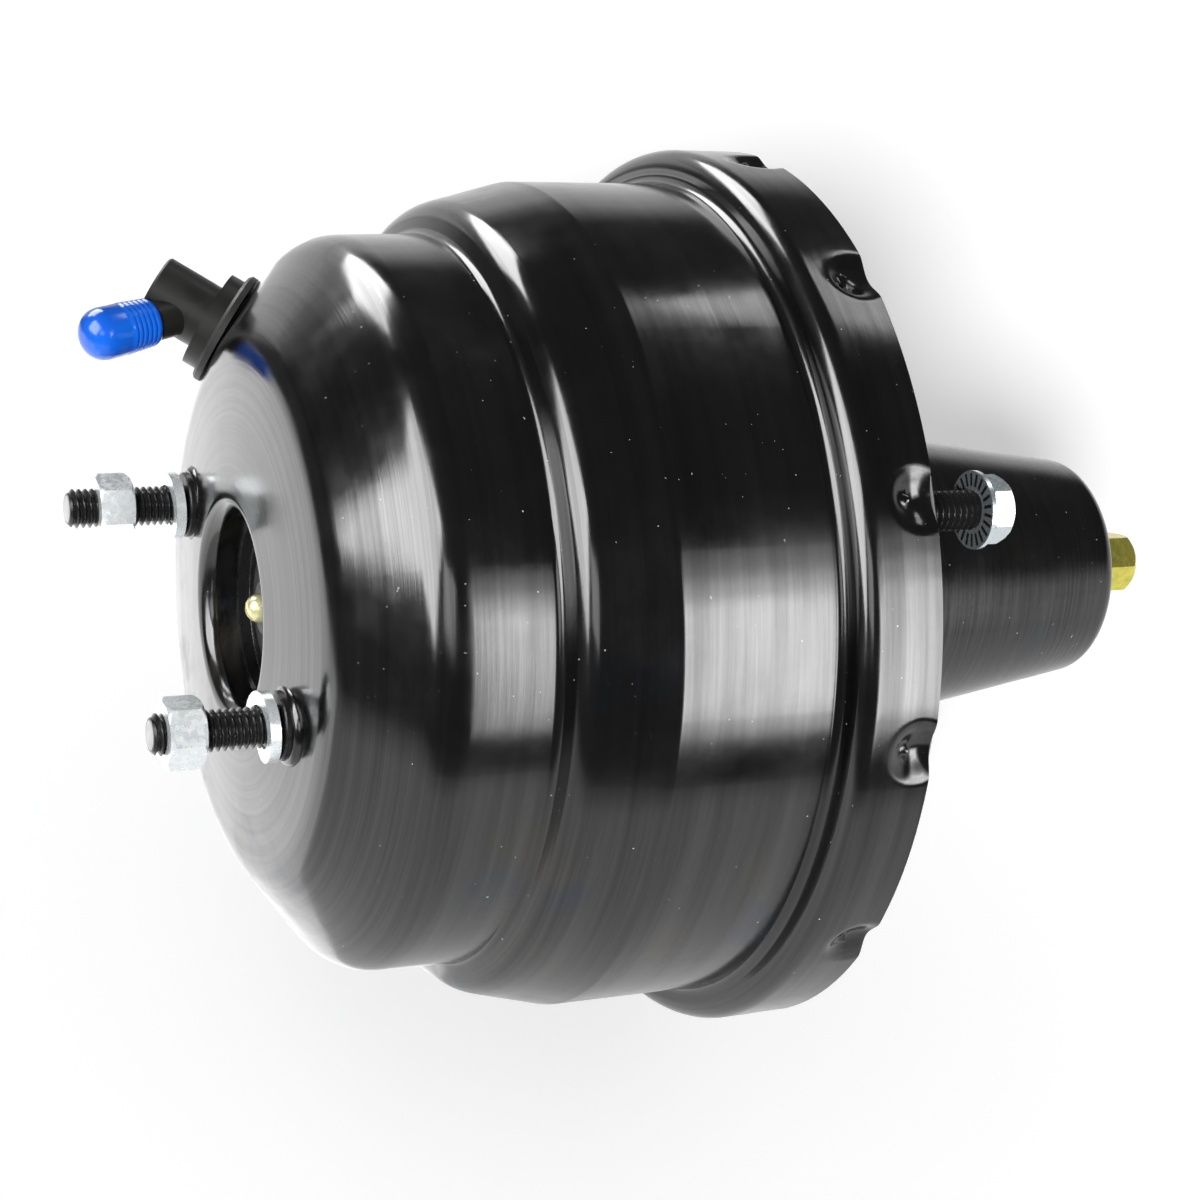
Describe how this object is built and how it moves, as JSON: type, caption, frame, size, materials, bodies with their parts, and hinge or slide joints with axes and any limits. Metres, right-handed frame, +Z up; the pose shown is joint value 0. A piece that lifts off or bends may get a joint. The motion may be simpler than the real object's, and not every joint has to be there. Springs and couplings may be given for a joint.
{
  "type": "vacuum brake booster",
  "caption": "Tandem-diaphragm vacuum brake booster: stepped drum, crimped rim, rear neck with hex coupling, master cylinder and firewall studs, capped check valve.",
  "frame": {"origin": "centre of the firewall stud pattern, on the outer face of the rear shell", "axes": "+X along the booster's axis towards the firewall and pedal, +Y level, towards the check valve's side, +Z up in the vehicle"},
  "size_m": [0.2788, 0.2151, 0.215],
  "materials": {
    "black_paint": "gloss black enamel over pressed steel",
    "black_oxide": "black stud with a rolled thread",
    "bright_zinc": "bright zinc plating",
    "yellow_zinc": "yellow zinc plating",
    "plain_steel": "plain steel",
    "spring_steel": "spring steel",
    "phenolic": "moulded phenolic",
    "black_nylon": "moulded nylon",
    "blue_vinyl": "glossy dipped vinyl",
    "black_rubber": "moulded rubber",
    "filter_foam": "open foam and felt"
  },
  "bodies": {
    "housing": {"front_shell": "black_paint", "rear_shell": "black_paint", "master_cylinder_studs": "black_oxide", "firewall_studs": "black_oxide", "master_cylinder_nuts": "bright_zinc", "firewall_nuts": "bright_zinc", "lock_washers": "bright_zinc", "chamber_divider": "plain_steel", "divider_seal": "black_rubber", "seal_cup": "black_oxide", "pushrod_seal": "black_rubber", "secondary_diaphragm": "black_rubber", "primary_diaphragm": "black_rubber", "neck_guide": "black_nylon", "neck_seal": "black_rubber", "check_valve_grommet": "black_rubber", "check_valve_body": "black_nylon", "check_valve_spring": "spring_steel", "return_spring": "spring_steel"},
    "power_piston": {"power_piston": "phenolic", "plunger_key": "plain_steel", "secondary_plate": "plain_steel", "primary_plate": "plain_steel", "secondary_retainer": "plain_steel", "primary_retainer": "plain_steel", "reaction_disc": "black_rubber", "output_pushrod": "black_oxide", "pushrod_clip": "plain_steel", "adjusting_screw": "yellow_zinc", "poppet_retainer": "plain_steel", "poppet_spring": "spring_steel", "rod_spring": "spring_steel", "air_filter": "filter_foam", "silencer_felt": "filter_foam", "filter_clip": "plain_steel"},
    "air_valve": {"air_valve": "plain_steel"},
    "poppet": {"poppet": "black_rubber"},
    "input_rod": {"input_pushrod": "yellow_zinc", "rod_spring_plate": "plain_steel", "hex_coupling": "yellow_zinc"},
    "check_disc": {"check_valve_disc": "black_rubber"},
    "cap": {"nozzle_cap": "blue_vinyl"}
  },
  "joints": [
    {"name": "piston_stroke", "type": "slide", "parent": "housing", "child": "power_piston", "axis": [-1, 0, 0], "range_m": [0, 0.028], "stiffness_N_per_m": 1500, "springref_m": -0.05, "deforming": ["return_spring", "secondary_diaphragm", "primary_diaphragm"]},
    {"name": "air_valve_slide", "type": "slide", "parent": "power_piston", "child": "air_valve", "axis": [-1, 0, 0], "range_m": [0, 0.0025], "stiffness_N_per_m": 1200, "springref_m": -0.012, "deforming": ["rod_spring"]},
    {"name": "poppet_slide", "type": "slide", "parent": "power_piston", "child": "poppet", "axis": [-1, 0, 0], "range_m": [0, 0.00092], "deforming": ["poppet_spring"]},
    {"name": "input_rod_swivel", "type": "hinge", "parent": "air_valve", "child": "input_rod", "pos_m": [-0.02, 0, 0], "axis": [0, 1, 0], "range_deg": [-2, 2], "stiffness_Nm_per_rad": 2},
    {"name": "check_disc_lift", "type": "slide", "parent": "housing", "child": "check_disc", "axis": [-0.7992, 0.5282, 0.2868], "range_m": [0, 0.0015], "stiffness_N_per_m": 30, "springref_m": -0.002, "deforming": ["check_valve_spring"]},
    {"name": "cap_pull", "type": "slide", "parent": "housing", "child": "cap", "axis": [-0.9376, -0.3467, -0.0245], "range_m": [0, 0.03]}
  ],
  "couplings": [
    {"joint": "poppet_slide", "follows": "air_valve_slide", "ratio": 0.36}
  ]
}
